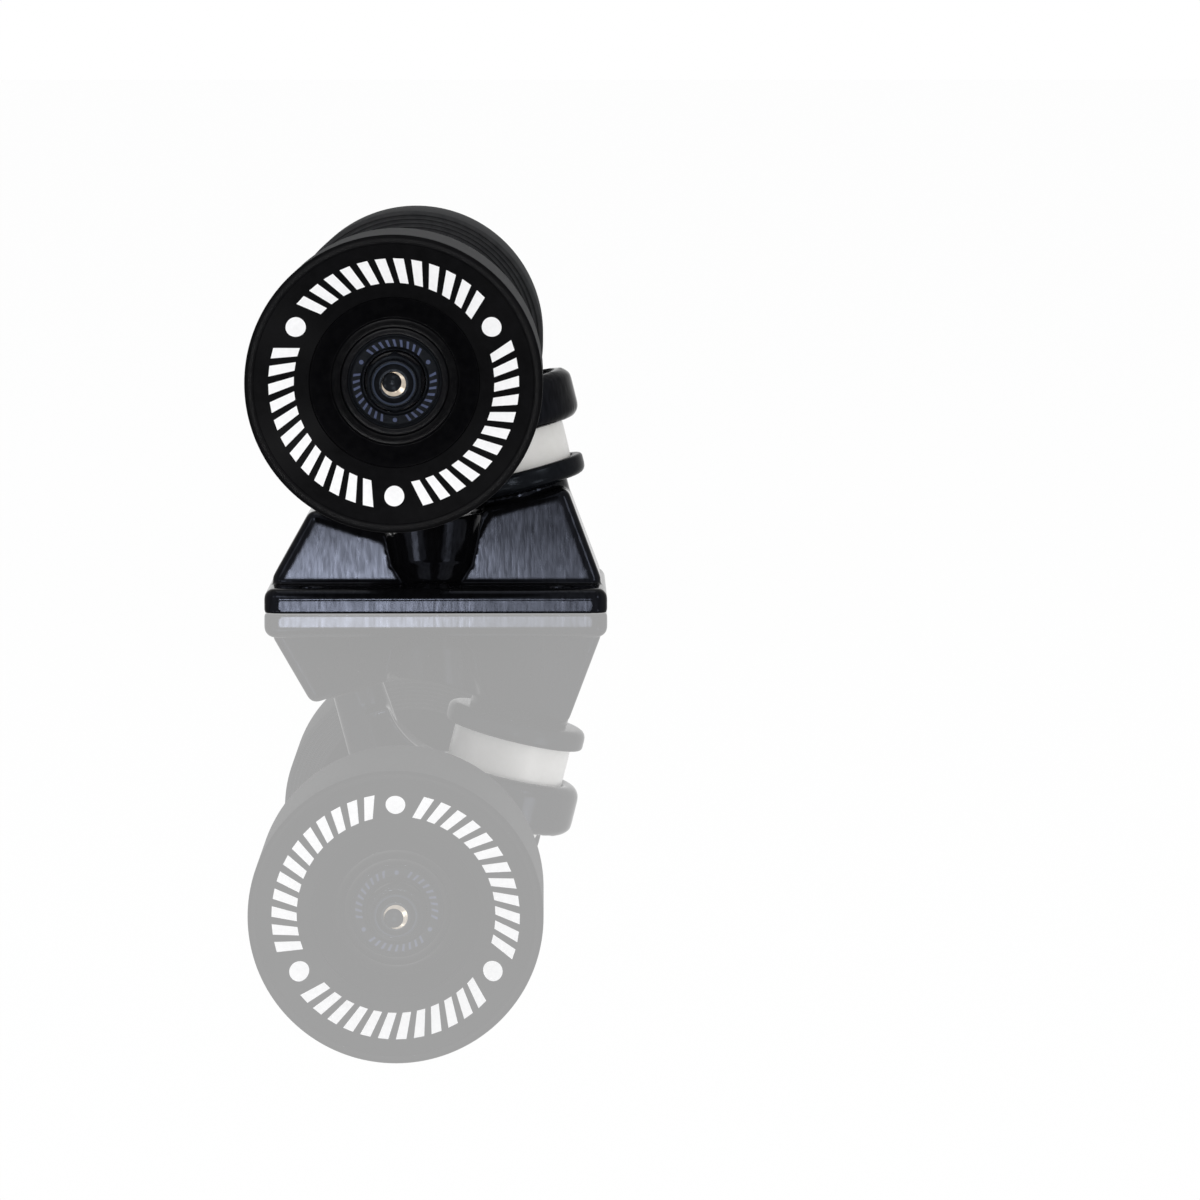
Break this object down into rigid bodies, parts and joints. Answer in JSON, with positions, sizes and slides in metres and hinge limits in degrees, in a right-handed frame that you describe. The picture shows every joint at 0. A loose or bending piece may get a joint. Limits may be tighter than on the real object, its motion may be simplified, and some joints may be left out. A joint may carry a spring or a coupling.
{
  "type": "skateboard truck",
  "caption": "Cast two-bushing skateboard truck with black urethane wheels, standing on its baseplate; the hanger leans and steers, the wheels spin on ball bearings.",
  "frame": {"origin": "centre of the deck bolt pattern on the underside of the baseplate", "axes": "+Z away from the deck, +X towards the kingpin, +Y along the axle to the right wheel"},
  "size_m": [0.074, 0.206, 0.084],
  "materials": {
    "cast_black": "satin",
    "black_steel": "satin",
    "steel": "satin",
    "urethane_black": "satin",
    "core_black": "satin",
    "seal_rubber": "matte",
    "bushing_white": "satin",
    "nylon": "satin"
  },
  "bodies": {
    "base": {"baseplate": "cast_black", "pivot_cup": "seal_rubber", "kingpin": "black_steel", "lower_cup_washer": "black_steel", "deck_bushing": "bushing_white", "road_bushing": "bushing_white", "upper_washer": "black_steel", "kingpin_nut": "black_steel", "kingpin_nut_insert": "nylon"},
    "hanger": {"hanger": "cast_black", "axle": "steel", "left_inner_speed_washer": "steel", "left_outer_speed_washer": "steel", "left_axle_nut": "black_steel", "left_axle_nut_insert": "nylon", "left_bearing_spacer": "steel", "left_inboard_inner_race": "steel", "left_outboard_inner_race": "steel", "right_inner_speed_washer": "steel", "right_outer_speed_washer": "steel", "right_axle_nut": "black_steel", "right_axle_nut_insert": "nylon", "right_bearing_spacer": "steel", "right_inboard_inner_race": "steel", "right_outboard_inner_race": "steel"},
    "left_wheel": {"left_tyre": "urethane_black", "left_wheel_core": "core_black", "left_inboard_outer_race": "steel", "left_outboard_outer_race": "steel", "left_inboard_shield": "seal_rubber", "left_outboard_shield": "seal_rubber"},
    "left_rollers": {"left_inboard_balls": "steel", "left_inboard_cage": "nylon", "left_outboard_balls": "steel", "left_outboard_cage": "nylon"},
    "right_wheel": {"right_tyre": "urethane_black", "right_wheel_core": "core_black", "right_inboard_outer_race": "steel", "right_outboard_outer_race": "steel", "right_inboard_shield": "seal_rubber", "right_outboard_shield": "seal_rubber"},
    "right_rollers": {"right_inboard_balls": "steel", "right_inboard_cage": "nylon", "right_outboard_balls": "steel", "right_outboard_cage": "nylon"}
  },
  "joints": [
    {"name": "hanger_lean", "type": "hinge", "parent": "base", "child": "hanger", "pos_m": [-0.0194, 0, 0.0135], "axis": [0.7475, 0, 0.6642], "range_deg": [-12, 12], "stiffness_Nm_per_rad": 15, "deforming": ["deck_bushing", "road_bushing"]},
    {"name": "left_wheel_spin", "type": "hinge", "parent": "hanger", "child": "left_wheel", "pos_m": [-0.0068, -0.081, 0.054], "axis": [0, 1, 0], "continuous": true},
    {"name": "left_roller_spin", "type": "hinge", "parent": "hanger", "child": "left_rollers", "pos_m": [-0.0068, -0.081, 0.054], "axis": [0, 1, 0], "continuous": true},
    {"name": "right_wheel_spin", "type": "hinge", "parent": "hanger", "child": "right_wheel", "pos_m": [-0.0068, 0.081, 0.054], "axis": [0, 1, 0], "continuous": true},
    {"name": "right_roller_spin", "type": "hinge", "parent": "hanger", "child": "right_rollers", "pos_m": [-0.0068, 0.081, 0.054], "axis": [0, 1, 0], "continuous": true}
  ],
  "couplings": [
    {"joint": "left_roller_spin", "follows": "left_wheel_spin", "ratio": 0.63233},
    {"joint": "right_roller_spin", "follows": "right_wheel_spin", "ratio": 0.63233}
  ]
}
